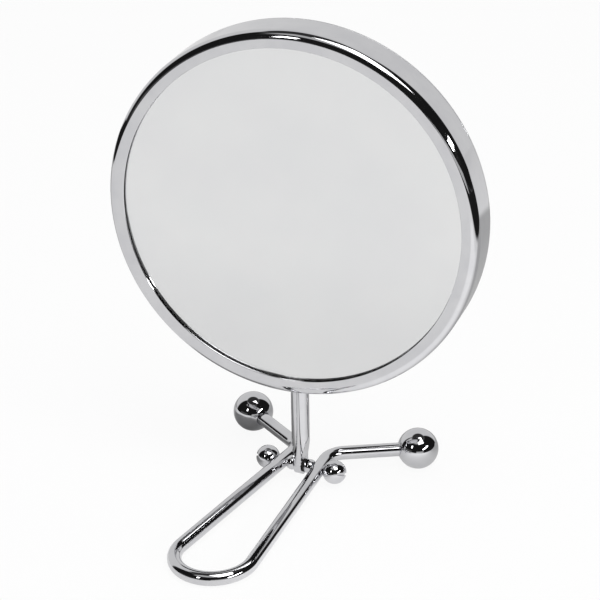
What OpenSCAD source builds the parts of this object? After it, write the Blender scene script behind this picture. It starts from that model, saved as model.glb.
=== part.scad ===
// Double-sided shaving mirror on a folding bent-wire stand.
// The frame is +Z up with the plain glass facing -Y. The origin lies on the table, at the
// centre of the footprint. Left is -X and right is +X, for someone looking into the glass.

/* [Head] */
// Outside diameter of the round rim
rim_d = 150; // [120:1:200]
// Depth of the head from the front lip to the rear lip
rim_depth = 19.8; // [19.4:0.1:26]
// Thickness of the rim's sheet metal
sheet = 0.7; // [0.6:0.05:1]
// Outside radius of the rolled corners between the drum and the lips
corner_r = 3.4; // [2.6:0.1:3.6]
// Width of the flat lip, from the rolled corner to its free edge
lip_w = 3.3; // [2.5:0.1:6]
// Clearance between the end of the rear bezel's skirt and the bush
skirt_gap = 0.3; // [0.2:0.05:0.6]
// Thickness of the rear bezel's skirt
skirt_t = 0.8; // [0.5:0.05:1]
// Angle by which the head is turned on its post, towards +X
head_turn = 7.8; // [-20:0.1:20]

/* [Glass and packing] */
// Thickness of both mirror glasses
glass_t = 1.5; // [1.2:0.1:2]
// Gap between the glass edge and the start of the rolled corner
glass_edge_gap = 0.6; // [0.3:0.1:1.2]
// Radius of curvature of the magnifying glass
magnifier_curve_r = 900; // [700:10:2000]
// Thickness of the board behind the plain glass
board_t = 1.2; // [0.8:0.1:1.2]
// Thickness of the foam ring behind the magnifying glass
pad_t = 1.2; // [0.8:0.1:1.2]
// Width of the foam ring
pad_w = 5; // [3:0.5:10]
// Thickness of the spring hoop that keeps the two glasses apart
hoop_t = 1.2; // [0.8:0.1:2]
// Angle left open in the hoop for the post's nut
hoop_gap_angle = 18; // [14:1:40]

/* [Post] */
// Diameter of the round post
post_d = 7.3; // [6.5:0.1:9]
// Distance from the hinge to the middle of the head
post_reach = 111.4; // [105:0.1:150]
// Thickness of the flattened tongue at the hinge
tongue_t = 3.2; // [2.6:0.1:3.6]
// Height above the hinge at which the tongue's flats start to run out
flat_h = 4.2; // [3.8:0.1:8]
// Height above the hinge at which the post is fully round
round_h = 13.5; // [11:0.5:24]
// Diameter of the post's spigot inside the rim
spigot_d = 4; // [3.5:0.1:5]
// Outside diameter of the bush inside the rim
bush_d = 8; // [7.4:0.1:8.2]
// Length of the bush
bush_len = 2.5; // [2:0.1:5]
// Thickness of the spring washer under the nut
post_washer_t = 0.8; // [0.5:0.1:1.2]
// Width across the flats of the nut
post_nut_af = 7; // [6.8:0.1:7]
// Height of the nut
post_nut_h = 3.2; // [2.4:0.1:4]
// Length of the spigot that stands past the nut
spigot_tail = 1; // [0.5:0.1:2]
// Chamfer on the spigot's end
spigot_chamfer = 0.5; // [0.3:0.1:0.5]

/* [Wire stand] */
// Diameter of the wire
wire_d = 5.6; // [5:0.1:6.2]
// Distance from the hinge's middle to the centre of either wire
wire_at_pin = 8.2; // [7.8:0.1:10]
// Angle by which each leg of the loop splays outwards
leg_splay = 5.7; // [2:0.1:9]
// Distance from the hinge to the wire's centre at the front of the loop
loop_reach = 88.1; // [70:0.1:100]
// Angle of the rear arms, backwards from the hinge's axis
arm_sweep = 30.5; // [24:0.5:40]
// Centreline radius of the bend between leg and arm
bend_r = 9; // [6:0.5:10]
// Diameter of the ball feet
ball_d = 16.8; // [12:0.1:20]
// Distance from the middle to the centre of either ball foot
ball_out = 38.2; // [34:0.1:44]
// Distance from the hinge back to the centres of the ball feet
ball_back = 30.5; // [28:0.1:34]
// How far each wire end reaches past its ball's centre
ball_seat = 2; // [0:0.1:4]
// How much thicker the wire is at its bends than along its straights
bend_swell = 0.02; // [0.02:0.01:0.2]

/* [Hinge] */
// Diameter of the hinge screw
screw_d = 3.2; // [2.6:0.1:3.4]
// Diameter of the slotted ball nuts
ball_nut_d = 9.7; // [8.5:0.1:11]
// Distance from the middle to the centre of either ball nut
ball_nut_out = 15.1; // [14.8:0.1:15.2]
// Width of the screwdriver slot in a ball nut
slot_w = 1.2; // [0.8:0.1:1.6]
// Depth of the screwdriver slot
slot_depth = 1.9; // [1:0.1:2]
// Angle of both slots, upwards from the front
slot_angle = 27; // [0:1:180]
// How deep the spot faces are cut into the wire
spot_face_depth = 0.3; // [0.2:0.05:0.5]
// Diameter of the spot faces
spot_face_d = 6.6; // [6.4:0.1:7]
// Diameter of the spacer beads
bead_d = 5.9; // [5.4:0.1:6.2]
// Thickness of the friction washers
friction_t = 0.5; // [0.3:0.05:0.8]
// Diameter of the friction washers
friction_d = 5.4; // [4.6:0.1:5.6]

/* [Fits] */
// Radial clearance of the screw and of the spigot in their bores
run_fit = 0.05; // [0.02:0.01:0.08]
// Clearance between faces that turn on each other
face_fit = 0.05; // [0.02:0.01:0.1]
// Gap between the post's shoulder and the rim
shoulder_gap = 0.2; // [0.1:0.05:0.4]

/* [Hidden] */
$fn = 96;
// Length by which one run of a solid reaches into the next, so that they join.
join = 0.1;

// The stand lies in a plane that passes through the hinge and is pitched, so that the loop's
// wire and the two larger balls touch the table together.
wire_r = wire_d / 2;
ball_r = ball_d / 2;
stand_pitch = asin((ball_r - wire_r) / (ball_back + loop_reach));
pin_z = ball_r - ball_back * sin(stand_pitch);
front_extent = loop_reach * cos(stand_pitch) + wire_r;
rear_extent = ball_back * cos(stand_pitch) + ball_r;
pin_y = (front_extent - rear_extent) / 2;

// Plan of the right half of the wire, in the stand's plane with the hinge at the origin.
loop_centre = (loop_reach - wire_at_pin * cos(leg_splay)) / (1 + sin(leg_splay));
loop_r = loop_reach - loop_centre;
leg_front = [loop_r * cos(leg_splay), loop_r * sin(leg_splay) - loop_centre];
arm_dir = [cos(arm_sweep), sin(arm_sweep)];
leg_dir = [-sin(leg_splay), cos(leg_splay)];
arm_len = (ball_out - wire_at_pin + ball_back * tan(leg_splay))
    / (cos(arm_sweep) + tan(leg_splay) * sin(arm_sweep));
bend_apex = [ball_out, ball_back] - arm_len * arm_dir;
bend_angle = 90 - arm_sweep + leg_splay;
bend_tangent = bend_r * tan(bend_angle / 2);
leg_rear = bend_apex - bend_tangent * leg_dir;
bend_centre = leg_rear + bend_r * [cos(leg_splay), sin(leg_splay)];
arm_start = bend_apex + bend_tangent * arm_dir;
arm_run = arm_len - bend_tangent;

// Stack of pieces along the hinge, from the middle outwards.
washer_in = tongue_t / 2 + face_fit;
washer_out = washer_in + friction_t;
wire_in = wire_at_pin - wire_r + spot_face_depth;
wire_out = wire_at_pin + wire_r - spot_face_depth;
spacer_w = wire_in - washer_out;
screw_half = ball_nut_out + ball_nut_d / 2 - slot_depth - 0.6;

// Stack of pieces in the head: positions along its axis, from the middle towards the glass.
rim_r = rim_d / 2;
half_depth = rim_depth / 2;
shell_r = rim_r - sheet;
shoulder_at = half_depth - corner_r;
crest_r = rim_r - corner_r;
lip_back = half_depth - sheet;
lip_edge_r = crest_r - lip_w;
glass_r = crest_r - glass_edge_gap;
glass_back = lip_back - glass_t;
board_back = glass_back - board_t;

// Section of the magnifying glass's curve: radii, and how far the glass lies in from its edge.
dish_steps = 24;
dish_curve = [
    for (i = [0 : dish_steps]) let (r = glass_r * i / dish_steps)
        [r, (glass_r * glass_r - r * r) / (2 * magnifier_curve_r)]
];
pad_inner_r = glass_r - pad_w;
pad_top = glass_back - lookup(pad_inner_r, dish_curve);
pad_back = pad_top - pad_t;

// The rear bezel's skirt, which plugs into the drum as far as the bush. It is rooted in the
// middle of the sheet of the rolled corner.
skirt_r = shell_r - skirt_t;
skirt_end = bush_d / 2 + skirt_gap;
skirt_root_r = corner_r - sheet / 2;
skirt_root_angle = acos((skirt_r - crest_r) / skirt_root_r);

// Stack of pieces on the spigot: heights above the hinge.
shoulder_h = post_reach - rim_r - shoulder_gap;
bush_top = post_reach - shell_r + bush_len;
nut_base = bush_top + face_fit + post_washer_t;
nut_top = nut_base + post_nut_h;
spigot_top = nut_top + spigot_tail;

// Points of an arc about a centre, from one angle to another.
function arc(centre, r, from, to, steps = 12) =
    [for (i = [0 : steps]) centre + r * [cos(from + (to - from) * i / steps), sin(from + (to - from) * i / steps)]];

// Section points along the magnifying glass, at a face's height at its edge, outside a radius.
function dished_face(edge_height, from_r) =
    [for (p = dish_curve) if (p.x >= from_r) [p.x, edge_height - p.y]];

function reversed(points) = [for (i = [len(points) - 1 : -1 : 0]) points[i]];

// Moves children from the hinge's own frame to its place above the table.
module at_hinge() {
    translate([0, pin_y, pin_z]) children();
}

// Moves children from the plane of the wire to its pitched place through the hinge.
module in_stand() {
    at_hinge() rotate([stand_pitch, 0, 0]) children();
}

// Moves children from the head's own frame, whose +Z is its front, to their place on the post.
module in_head() {
    at_hinge() translate([0, 0, post_reach]) rotate([90, 0, head_turn]) children();
}

// Draws children on the right, or mirrored on the left.
module on_side(side) {
    mirror([side < 0 ? 1 : 0, 0, 0]) children();
}

// Section of the rolled corner and of the lip that it carries, outside and then inside.
module rolled_edge() {
    crest = [crest_r, shoulder_at];
    edge = [lip_edge_r + sheet / 2, half_depth - sheet / 2];
    polygon(concat(
        arc(crest, corner_r, 0, 90, 16),
        arc(edge, sheet / 2, 90, 270, 8),
        arc(crest, corner_r - sheet, 90, 0)
    ));
}

// Section of the skirt, from its free end up into the rolled corner.
module skirt() {
    polygon(concat(
        [[skirt_r, skirt_end], [shell_r, skirt_end], [shell_r, shoulder_at]],
        arc([crest_r, shoulder_at], skirt_root_r, 0, skirt_root_angle, 8)
    ));
}

// The drum of the head, in one piece with the front corner and lip.
module rim_shell() {
    color("gainsboro") in_head() difference() {
        rotate_extrude($fn = 240) {
            rolled_edge();
            translate([shell_r, -shoulder_at]) square([sheet, 2 * shoulder_at]);
        }
        rotate([90, 0, 0]) cylinder(d = spigot_d + 2 * run_fit, h = rim_r + 1);
    }
}

// The rear corner and lip, with a skirt that plugs into the drum.
module rear_bezel() {
    color("gainsboro") in_head() mirror([0, 0, 1]) rotate_extrude($fn = 240) {
        rolled_edge();
        skirt();
    }
}

// The plain looking-glass, under the front lip.
module front_glass() {
    color("lightgray") in_head() translate([0, 0, glass_back]) cylinder(r = glass_r, h = glass_t, $fn = 240);
}

// The magnifying glass, dished away from the viewer, under the rear lip.
module rear_glass() {
    color("lightgray") in_head() mirror([0, 0, 1]) rotate_extrude($fn = 240)
        polygon(concat(dished_face(glass_back, 0), reversed(dished_face(lip_back, 0))));
}

// The hardboard disc that backs the plain glass.
module front_board() {
    color("tan") in_head() translate([0, 0, board_back]) cylinder(r = glass_r, h = board_t, $fn = 240);
}

// The foam ring that cushions the magnifying glass, shaped to its curve.
module rear_pad() {
    color("dimgray") in_head() mirror([0, 0, 1]) rotate_extrude($fn = 240) polygon(concat(
        [[pad_inner_r, pad_back], [pad_inner_r, pad_top]],
        dished_face(glass_back, pad_inner_r),
        [[glass_r, pad_back]]
    ));
}

// The open spring hoop that pushes the board and the foam ring apart.
module spacer_hoop() {
    color("slategray") in_head() rotate([0, 0, hoop_gap_angle / 2 - 90]) translate([0, 0, -pad_back])
        rotate_extrude(angle = 360 - hoop_gap_angle, $fn = 240)
            translate([glass_r - hoop_t, 0]) square([hoop_t, pad_back + board_back]);
}

// The bush inside the drum in which the post's spigot turns.
module post_bush() {
    color("goldenrod") in_head() intersection() {
        rotate([90, 0, 0]) translate([0, 0, shell_r - bush_len]) difference() {
            cylinder(d = bush_d, h = bush_len + 1);
            translate([0, 0, -1]) cylinder(d = spigot_d + 2 * run_fit, h = bush_len + 3);
        }
        cylinder(r = shell_r, h = 2 * bush_d, center = true, $fn = 240);
    }
}

// The round post, flattened to a tongue round the hinge screw, with its spigot on top.
module post() {
    post_r = post_d / 2;
    color("silver") at_hinge() difference() {
        union() {
            cylinder(d = post_d, h = shoulder_h);
            rotate([0, 90, 0]) cylinder(d = post_d, h = tongue_t, center = true);
            cylinder(d = spigot_d, h = spigot_top - spigot_chamfer);
            translate([0, 0, spigot_top - spigot_chamfer])
                cylinder(d1 = spigot_d, d2 = spigot_d - 2 * spigot_chamfer, h = spigot_chamfer);
        }
        rotate([0, 90, 0]) cylinder(d = screw_d + 2 * run_fit, h = 2 * post_d, center = true);
        for (side = [-1, 1]) on_side(side) rotate([90, 0, 0]) linear_extrude(2 * post_d, center = true)
            polygon([
                [tongue_t / 2, -post_d], [tongue_t / 2, flat_h], [post_r, round_h],
                [post_d, round_h], [post_d, -post_d]
            ]);
    }
}

// The spring washer that gives the turning head its friction.
module post_washer() {
    color("silver") at_hinge() translate([0, 0, bush_top + face_fit]) difference() {
        cylinder(d = bush_d, h = post_washer_t);
        translate([0, 0, -1]) cylinder(d = spigot_d, h = post_washer_t + 2);
    }
}

// The nut on the post's spigot, with chamfered corners.
module post_nut() {
    corner_d = post_nut_af / cos(30);
    chamfer_h = (corner_d - post_nut_af) / 2;
    color("silver") at_hinge() translate([0, 0, nut_base]) difference() {
        intersection() {
            rotate([0, 0, 30]) cylinder(d = corner_d, h = post_nut_h, $fn = 6);
            union() {
                cylinder(d = corner_d, h = post_nut_h - chamfer_h);
                translate([0, 0, post_nut_h - chamfer_h]) cylinder(d1 = corner_d, d2 = post_nut_af, h = chamfer_h);
            }
        }
        translate([0, 0, -1]) cylinder(d = spigot_d, h = post_nut_h + 2);
    }
}

// A straight run of wire from a point of the stand's plane, in the direction of an angle.
module wire_run(from, direction, length) {
    translate([from.x, from.y, 0]) rotate([0, 0, direction]) rotate([0, 90, 0])
        cylinder(d = wire_d, h = length);
}

// A bend of wire about a centre, over an angle from a start angle.
module wire_bend(centre, r, start, angle) {
    translate([centre.x, centre.y, 0]) rotate([0, 0, start])
        rotate_extrude(angle = angle, $fn = 192) translate([r, 0]) circle(d = wire_d + bend_swell);
}

// The stand: one bent wire, with a loop in front and two arms that open to the rear.
module wire_frame() {
    color("silver") in_stand() difference() {
        union() {
            wire_bend([0, -loop_centre], loop_r, 180 - leg_splay, 180 + 2 * leg_splay);
            for (side = [-1, 1]) on_side(side) {
                wire_run(leg_front - join * leg_dir, 90 + leg_splay, norm(leg_rear - leg_front) + 2 * join);
                wire_bend(bend_centre, bend_r, 180 + leg_splay - bend_angle, bend_angle);
                wire_run(arm_start - join * arm_dir, arm_sweep, arm_run + ball_seat + join);
            }
        }
        rotate([0, 90, 0]) cylinder(d = screw_d + 2 * run_fit, h = 2 * ball_nut_out, center = true);
        rotate([0, 90, 0]) cylinder(d = spot_face_d, h = 2 * wire_in, center = true);
        for (side = [-1, 1]) on_side(side) translate([wire_out, 0, 0]) rotate([0, 90, 0])
            cylinder(d = spot_face_d, h = wire_d);
    }
}

// A ball foot, bored to take the end of the wire.
module ball_foot(side) {
    color("silver") in_stand() on_side(side)
        translate([ball_out, ball_back, 0]) rotate([0, 0, arm_sweep]) rotate([0, 90, 0]) difference() {
            sphere(d = ball_d, $fn = 144);
            translate([0, 0, -ball_d]) cylinder(d = wire_d, h = ball_d + ball_seat);
        }
}

module left_ball_foot() {
    ball_foot(-1);
}

module right_ball_foot() {
    ball_foot(1);
}

// The screw that carries the tongue and ties the two wires together.
module hinge_screw() {
    color("silver") in_stand() rotate([0, 90, 0]) cylinder(d = screw_d, h = 2 * screw_half, center = true);
}

// A ball nut with a flat seat against the wire and a slot for a screwdriver.
module ball_nut(side) {
    nut_r = ball_nut_d / 2;
    color("silver") in_stand() on_side(side) difference() {
        translate([ball_nut_out, 0, 0]) rotate([0, 90, 0]) sphere(d = ball_nut_d, $fn = 144);
        translate([wire_out - ball_nut_d, 0, 0]) cube([2 * ball_nut_d, 2 * ball_nut_d, 2 * ball_nut_d], center = true);
        rotate([0, 90, 0]) cylinder(d = screw_d, h = screw_half);
        translate([ball_nut_out + nut_r - slot_depth, 0, 0]) rotate([-slot_angle, 0, 0])
            translate([slot_depth, 0, 0]) cube([2 * slot_depth, 2 * ball_nut_d, slot_w], center = true);
    }
}

module left_ball_nut() {
    ball_nut(-1);
}

module right_ball_nut() {
    ball_nut(1);
}

// A bead that spaces a wire from the tongue, flat on both sides.
module spacer_bead(side) {
    color("silver") in_stand() on_side(side) intersection() {
        translate([washer_out, -bead_d, -bead_d]) cube([spacer_w, 2 * bead_d, 2 * bead_d]);
        difference() {
            translate([washer_out + spacer_w / 2, 0, 0]) rotate([0, 90, 0]) sphere(d = bead_d);
            rotate([0, 90, 0]) cylinder(d = screw_d + 2 * run_fit, h = 2 * wire_in);
        }
    }
}

module left_spacer_bead() {
    spacer_bead(-1);
}

module right_spacer_bead() {
    spacer_bead(1);
}

// A dark fibre washer that makes the hinge stiff.
module friction_washer(side) {
    color("black") in_stand() on_side(side) translate([washer_in, 0, 0]) rotate([0, 90, 0]) difference() {
        cylinder(d = friction_d, h = friction_t);
        translate([0, 0, -1]) cylinder(d = screw_d + 2 * run_fit, h = friction_t + 2);
    }
}

module left_friction_washer() {
    friction_washer(-1);
}

module right_friction_washer() {
    friction_washer(1);
}

rim_shell();
rear_bezel();
front_glass();
rear_glass();
front_board();
rear_pad();
spacer_hoop();
post_bush();
post();
post_washer();
post_nut();
wire_frame();
left_ball_foot();
right_ball_foot();
hinge_screw();
left_ball_nut();
right_ball_nut();
left_spacer_bead();
right_spacer_bead();
left_friction_washer();
right_friction_washer();
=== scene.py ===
import logging
import math
from dataclasses import dataclass
from enum import Enum

import bpy
from mathutils import Matrix, Vector


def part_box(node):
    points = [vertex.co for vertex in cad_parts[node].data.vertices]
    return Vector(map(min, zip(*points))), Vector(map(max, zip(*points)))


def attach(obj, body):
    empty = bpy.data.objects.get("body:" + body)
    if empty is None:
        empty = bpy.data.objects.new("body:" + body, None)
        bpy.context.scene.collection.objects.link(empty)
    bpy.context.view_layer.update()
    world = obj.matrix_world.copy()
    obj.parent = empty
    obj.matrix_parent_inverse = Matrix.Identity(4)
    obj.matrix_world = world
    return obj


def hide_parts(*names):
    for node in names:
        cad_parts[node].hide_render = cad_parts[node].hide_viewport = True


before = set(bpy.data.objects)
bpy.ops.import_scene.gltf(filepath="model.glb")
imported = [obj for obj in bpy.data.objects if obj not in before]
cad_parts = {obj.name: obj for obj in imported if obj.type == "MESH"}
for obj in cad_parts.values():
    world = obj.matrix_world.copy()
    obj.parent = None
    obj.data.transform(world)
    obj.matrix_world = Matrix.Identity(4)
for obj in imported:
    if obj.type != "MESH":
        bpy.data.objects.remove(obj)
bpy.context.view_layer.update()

LOG = logging.getLogger("shaving_mirror")

# Metres in a millimetre: sizes are written in millimetres, and Blender works in metres.
MM = 0.001
# Points of a section closer than this, in metres, are one point.
WELD = 2e-6
# Edges sharper than this stay crisp when a piece is shaded smooth.
CREASE = math.radians(32)

Point = tuple[float, float]
Range = tuple[float, float]
Piece = bpy.types.Object
Tree = bpy.types.NodeTree
Socket = bpy.types.NodeSocket


class Body(Enum):
    """The moving bodies of the frame."""

    STAND = "stand"
    POST = "post"
    HEAD = "head"


class Side(Enum):
    """The two sides of the stand, as signs of X."""

    LEFT = -1
    RIGHT = 1

    @property
    def word(self) -> str:
        """The side's name, as the frame's nodes spell it."""
        return self.name.lower()


class Face(Enum):
    """The two faces of the head."""

    FRONT = "front"
    REAR = "rear"


# ---------------------------------------------------------------- shader nodes


def linear(colour: str) -> tuple[float, float, float, float]:
    """Turns an sRGB hex colour to the linear colour that a shader takes.

    Args:
        colour: the colour as #RRGGBB.

    Returns:
        Red, green, blue and an alpha of 1.
    """
    channels = [int(colour[i : i + 2], 16) / 255 for i in (1, 3, 5)]
    r, g, b = (c / 12.92 if c <= 0.04045 else ((c + 0.055) / 1.055) ** 2.4 for c in channels)
    return r, g, b, 1.0


def node(
    tree: Tree, kind: str, settings: dict[str | int, object] | None = None
) -> bpy.types.Node:
    """Adds one shader node.

    Args:
        tree: the node tree to add to.
        kind: Blender's name for the kind of node, after ShaderNode.
        settings: what the node's own settings and its inputs hold, by name or number. A socket
            is linked to its input, None leaves it alone, and anything else is set as a value.

    Returns:
        The new node.
    """
    made = tree.nodes.new(f"ShaderNode{kind}")
    for key, value in (settings or {}).items():
        if value is None:
            continue
        if isinstance(value, Socket):
            tree.links.new(value, made.inputs[key])
        elif isinstance(key, str) and hasattr(made, key):
            setattr(made, key, value)
        else:
            made.inputs[key].default_value = value
    return made


def calc(tree: Tree, operation: str, *values: Socket | float) -> Socket:
    """Adds a calculation and gives its result."""
    return node(tree, "Math", {"operation": operation, **dict(enumerate(values))}).outputs[0]


def blend(tree: Tree, mask: Socket, outside: Socket | float, inside: Socket | float) -> Socket:
    """Adds a choice between two values: one where a mask is 0, the other where it is 1."""
    values = {"data_type": "FLOAT", 0: mask, 2: outside, 3: inside}
    return node(tree, "Mix", values).outputs[0]


def window(tree: Tree, value: Socket, limits: Range, soft: float) -> Socket:
    """Adds a mask that is 1 between two limits and falls softly to 0 outside them.

    Args:
        tree: the node tree to add to.
        value: what is measured.
        limits: the lower and the upper limit.
        soft: the width over which the mask falls, half of it on each side of a limit.

    Returns:
        The mask.
    """
    low, high = limits
    edges = [
        node(
            tree, "MapRange",
            {
                "interpolation_type": "SMOOTHSTEP", "Value": value,
                "From Min": outside, "From Max": inside,
            },
        ).outputs[0]
        for outside, inside in (
            (low - soft / 2, low + soft / 2),
            (high + soft / 2, high - soft / 2),
        )
    ]
    return calc(tree, "MULTIPLY", *edges)


@dataclass(frozen=True)
class Cloud:
    """A cloudy pattern: the size of its largest clouds, and how its finer layers are."""

    size_mm: float
    detail: float
    roughness: float = 0.5
    distortion: float = 0.0


class Recipe:
    """A material in the making: each method adds one step and gives what comes out of it."""

    def __init__(self, name: str) -> None:
        """Makes the material, with no nodes yet.

        Args:
            name: the material's name.
        """
        self.material = bpy.data.materials.new(name)
        self.material.use_nodes = True
        self.tree = self.material.node_tree
        self.tree.nodes.clear()

    def noise(self, cloud: Cloud) -> Socket:
        """Adds a cloudy pattern of a real size, from 0 to 1."""
        settings = {
            "Vector": node(self.tree, "TexCoord").outputs["Object"],
            "Scale": 1 / (cloud.size_mm * MM), "Detail": cloud.detail,
            "Roughness": cloud.roughness, "Distortion": cloud.distortion,
        }
        return node(self.tree, "TexNoise", settings).outputs[0]

    def tones(self, pattern: Socket, between: Range, tones: tuple[str, str]) -> Socket:
        """Adds a colour that goes from one tone to the other as a pattern goes up.

        Args:
            pattern: the pattern.
            between: the two levels of the pattern at which the tones are met.
            tones: the two tones, as hex colours.

        Returns:
            The colour.
        """
        ramp = node(self.tree, "ValToRGB", {"Fac": pattern})
        for stop, level, tone in zip(ramp.color_ramp.elements, between, tones):
            stop.position, stop.color = level, linear(tone)
        return ramp.outputs[0]

    def spread(self, pattern: Socket, between: Range, ends: Range) -> Socket:
        """Adds a value that goes from end to end while a pattern goes between two levels."""
        levels = zip(("From Min", "From Max", "To Min", "To Max"), (*between, *ends))
        return node(self.tree, "MapRange", {"Value": pattern, **dict(levels)}).outputs[0]

    def relief(self, pattern: Socket, height_mm: float, under: Socket | None) -> Socket:
        """Adds a bump of a real height, which may lie on top of another."""
        bump = {"Strength": 1.0, "Distance": height_mm * MM, "Height": pattern, "Normal": under}
        return node(self.tree, "Bump", bump).outputs[0]

    def end(self, kind: str, settings: dict[str | int, object]) -> bpy.types.Material:
        """Adds the last shader and the output.

        Args:
            kind: the kind of shader, after ShaderNode.
            settings: what its settings and inputs hold.

        Returns:
            The finished material.
        """
        shader = node(self.tree, kind, settings)
        node(self.tree, "OutputMaterial", {"Surface": shader.outputs[0]})
        return self.material


# ---------------------------------------------------------------- finishes

# What a stuff is by nature, as the shader's inputs.
METAL = (("Metallic", 1.0),)
GLASS = (("Transmission Weight", 1.0), ("IOR", 1.52))


@dataclass(frozen=True)
class Finish:
    """A finish of two tones, whose pattern leads its tone and its dullness together.

    Both are met at levels of their own, and between them they go over from one to the other.
    """

    name: str
    tones: tuple[str, str]
    pattern: Cloud
    rough: Range
    tones_between: Range = (0.32, 0.68)
    rough_between: Range = (0.0, 1.0)
    nature: tuple[tuple[str, float], ...] = ()

    def reliefs(self) -> tuple[tuple[Cloud, float], ...]:
        """Says what the surface stands up in, the deepest first, and its heights in millimetres."""
        return ()

    def material(self) -> bpy.types.Material:
        """Gives this finish's material, which is made only once.

        Returns:
            The material.
        """
        known = bpy.data.materials.get(self.name)
        if known:
            return known
        recipe = Recipe(self.name)
        pattern, surface = recipe.noise(self.pattern), None
        for cloud, height_mm in self.reliefs():
            surface = recipe.relief(recipe.noise(cloud), height_mm, surface)
        return recipe.end("BsdfPrincipled", {
            "Base Color": recipe.tones(pattern, self.tones_between, self.tones),
            "Roughness": recipe.spread(pattern, self.rough_between, self.rough),
            "Normal": surface,
            **dict(self.nature),
        })


@dataclass(frozen=True)
class ChromePlate(Finish):
    """Bright chrome over polished nickel: a cool mirror, with a breath of haze from the buffing.

    The plate follows the metal under it, so sheet and wire keep slow waves, which pull the
    reflections a little out of true.
    """

    tones: tuple[str, str] = ("#CDCDD0", "#D4D4D6")
    pattern: Cloud = Cloud(11.0, detail=3.0, roughness=0.55)
    rough: Range = (0.03, 0.075)
    tones_between: Range = (0.35, 0.65)
    rough_between: Range = (0.4, 0.75)
    nature: tuple[tuple[str, float], ...] = METAL
    wave_mm: float = 16.0
    wave_height_mm: float = 0.02
    buffing: Cloud = Cloud(0.35, detail=2.0)
    buff_height_mm: float = 0.00012

    def reliefs(self) -> tuple[tuple[Cloud, float], ...]:
        """Says how the slow waves stand up, and the grain of the buffing on top of them."""
        waves = Cloud(self.wave_mm, detail=1.0, roughness=0.3)
        return (waves, self.wave_height_mm), (self.buffing, self.buff_height_mm)


@dataclass(frozen=True)
class Grained(Finish):
    """A duller material, broken up by a grain of a real size in tone, dullness and relief.

    It serves the plain pieces: pressed board, foam, fibre, zinc-plated steel and brass.
    """

    relief_mm: float = 0.004

    def reliefs(self) -> tuple[tuple[Cloud, float], ...]:
        """Says how the grain stands up."""
        return ((self.pattern, self.relief_mm),)


def grain(size_mm: float) -> Cloud:
    """Gives the pattern of a grain of some size."""
    return Cloud(size_mm, detail=5.0, roughness=0.6)


# Rolled steel sheet, plated: the widest waves, since the drum is thin.
RIM_CHROME = ChromePlate("chrome_on_rolled_sheet", wave_mm=22.0, wave_height_mm=0.03)
# Turned steel bar, plated: tight and true.
BAR_CHROME = ChromePlate("chrome_on_turned_bar", wave_mm=9.0, wave_height_mm=0.006)
# Drawn and bent steel wire, plated: slight waves from the bending.
WIRE_CHROME = ChromePlate("chrome_on_drawn_wire", wave_mm=10.0, wave_height_mm=0.01)
# Ball-ground steel, plated: the truest mirror of them all.
BALL_CHROME = ChromePlate(
    "chrome_on_ground_ball", rough=(0.02, 0.05), wave_mm=7.0, wave_height_mm=0.003
)
# Soda-lime float glass, ground and washed: clear, with faint dry wiping marks.
CLEAR_GLASS = Finish(
    "float_glass", ("#FEFEFE", "#FCFDFD"),
    Cloud(26.0, detail=4.0, roughness=0.6, distortion=0.4), rough=(0.0, 0.004),
    tones_between=(0.3, 0.75), rough_between=(0.5, 0.8), nature=GLASS,
)
# The silver behind a looking-glass: the brightest mirror of all, a little aged in wide patches.
SILVER_COAT = Finish(
    "silver_coat", ("#EDEDED", "#E9E9EA"), Cloud(40.0, detail=2.0), rough=(0.0, 0.0),
    tones_between=(0.3, 0.7), nature=METAL,
)
# Pressed wood fibre: brown, matt and slightly furry.
HARDBOARD = Grained(
    "hardboard", ("#5E452D", "#8A6A48"), grain(1.6), rough=(0.6, 0.85), relief_mm=0.05
)
# Open-cell polyurethane foam: dark grey, all pores.
FOAM = Grained(
    "polyurethane_foam", ("#2C2C2F", "#5B5B5E"), grain(0.9), rough=(0.85, 0.95), relief_mm=0.2
)
# Blued spring strip: dark and oiled.
SPRING_STEEL = Grained(
    "blued_spring_steel", ("#474B52", "#6C7178"), grain(2.0), rough=(0.25, 0.42), nature=METAL
)
# Turned free-cutting brass, bare and a little tarnished.
BRASS = Grained(
    "turned_brass", ("#B08A45", "#D8B56A"), grain(1.5), rough=(0.22, 0.4), nature=METAL
)
# Steel with bright zinc: pale, bluish, softly crystalline.
ZINC = Grained(
    "bright_zinc_on_steel", ("#A3A8AF", "#C4C8CE"), grain(0.8), rough=(0.25, 0.45), nature=METAL
)
# Vulcanised fibre: hard, near black, with a dry sheen.
FIBRE = Grained(
    "vulcanised_fibre", ("#171514", "#2B2826"), grain(0.6), rough=(0.5, 0.75), relief_mm=0.02
)


# ---------------------------------------------------------------- ways of making

# How far a cutter starts outside the piece that it cuts, in millimetres.
LEAD = 1.0


def arc(centre: Point, radius: float, start: float, end: float, steps: int = 12) -> list[Point]:
    """Gives the points of an arc in a section.

    Args:
        centre: the arc's centre.
        radius: its radius.
        start: the angle of its first point, in degrees.
        end: the angle of its last point, in degrees.
        steps: how many chords it is drawn with.

    Returns:
        The points, both ends included.
    """
    angles = (math.radians(start + (end - start) * i / steps) for i in range(steps + 1))
    return [(centre[0] + radius * math.cos(a), centre[1] + radius * math.sin(a)) for a in angles]


def run(start: Point, end: Point, steps: int) -> list[Point]:
    """Gives evenly spaced points of a straight side, both ends included."""
    return [
        (start[0] + (end[0] - start[0]) * i / steps, start[1] + (end[1] - start[1]) * i / steps)
        for i in range(steps + 1)
    ]


def moved(x: float, y: float, z: float) -> Matrix:
    """Gives a move in millimetres."""
    return Matrix.Translation((x * MM, y * MM, z * MM))


def turned(degrees: float, axis: str) -> Matrix:
    """Gives a turn about an axis."""
    return Matrix.Rotation(math.radians(degrees), 4, axis)


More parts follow.
